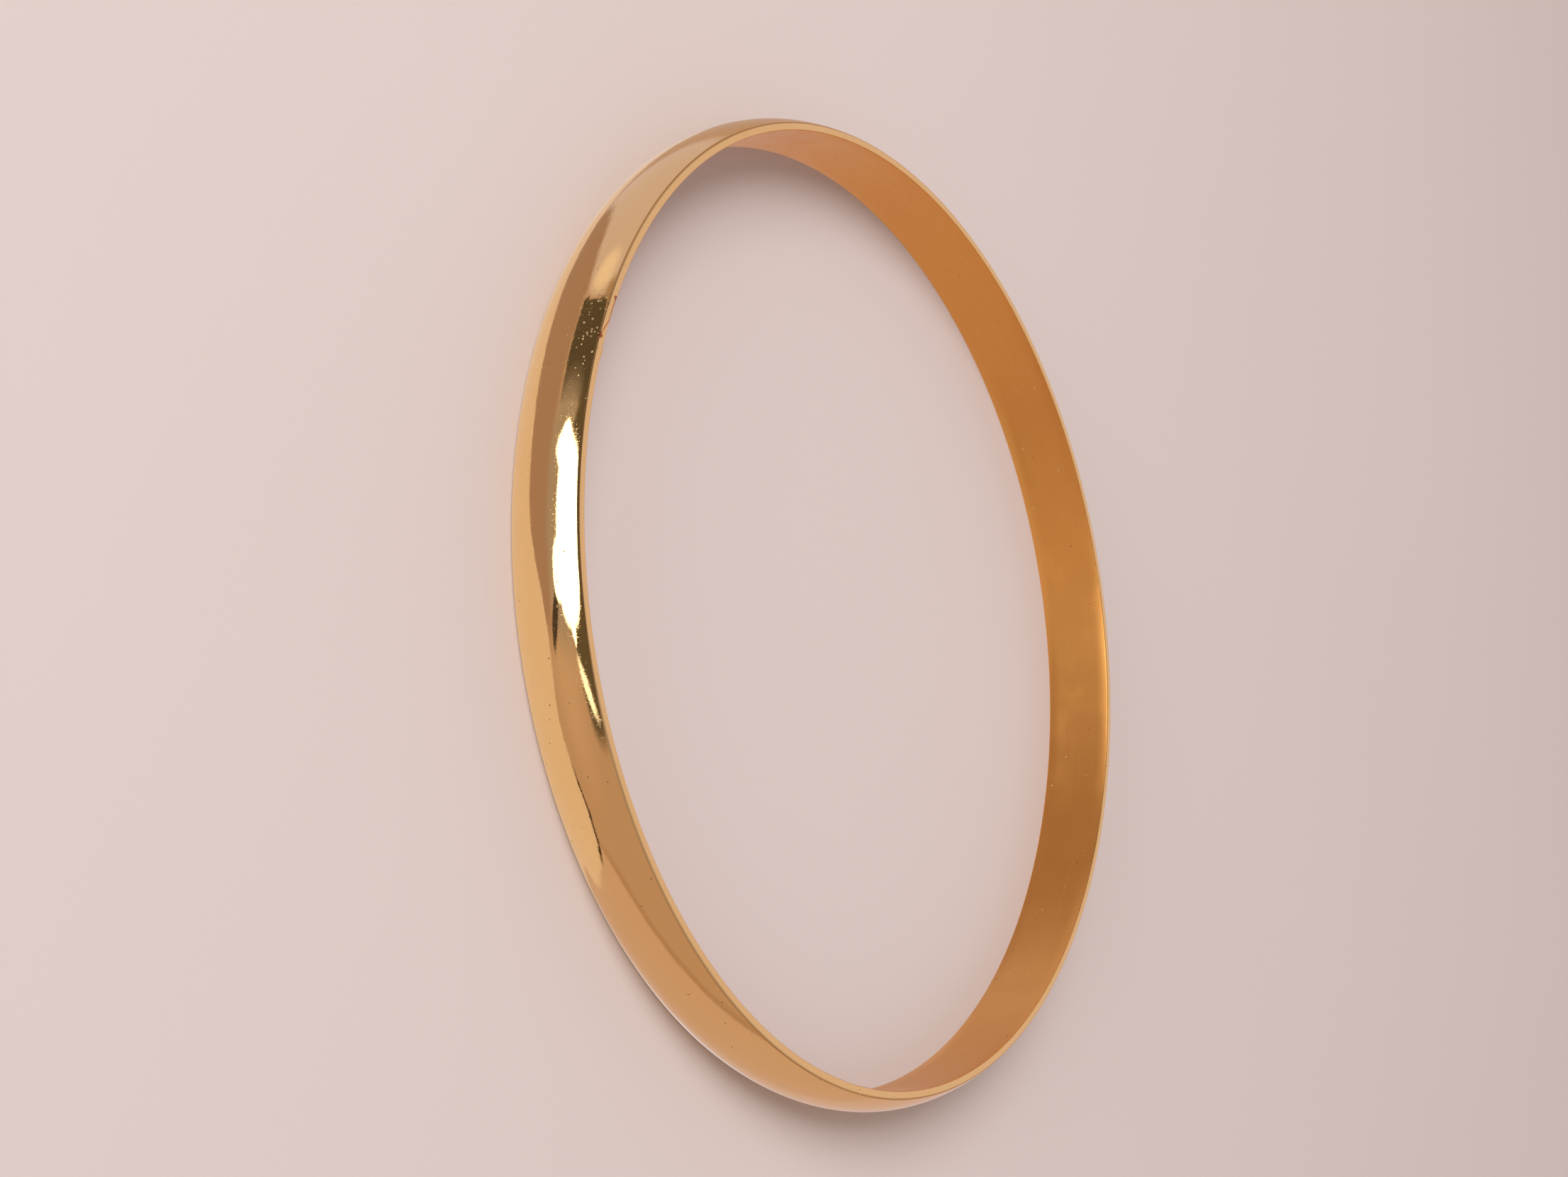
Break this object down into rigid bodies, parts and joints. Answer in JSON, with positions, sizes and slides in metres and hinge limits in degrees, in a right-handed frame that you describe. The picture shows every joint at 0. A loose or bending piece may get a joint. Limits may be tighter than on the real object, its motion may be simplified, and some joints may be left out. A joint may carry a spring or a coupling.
{
  "type": "bangle bracelet",
  "caption": "Closed round bangle: a half-round metal strip, domed outside and flat on the wrist side, bent into a ring and closed by a slanting soldered joint.",
  "frame": {"origin": "centre of the wrist opening at the lower rim, with the bangle lying flat", "axes": "+Z along the ring's axis, from the lower rim to the upper rim; -Y points from the centre to the closing joint"},
  "size_m": [0.066, 0.066, 0.005],
  "materials": {
    "gold_plate": "mirror polished, gold plated",
    "solder": "filed and polished level, reddish where the plating is thin"
  },
  "bodies": {
    "root": {"band": "gold_plate", "joint_solder": "solder"}
  },
  "joints": []
}
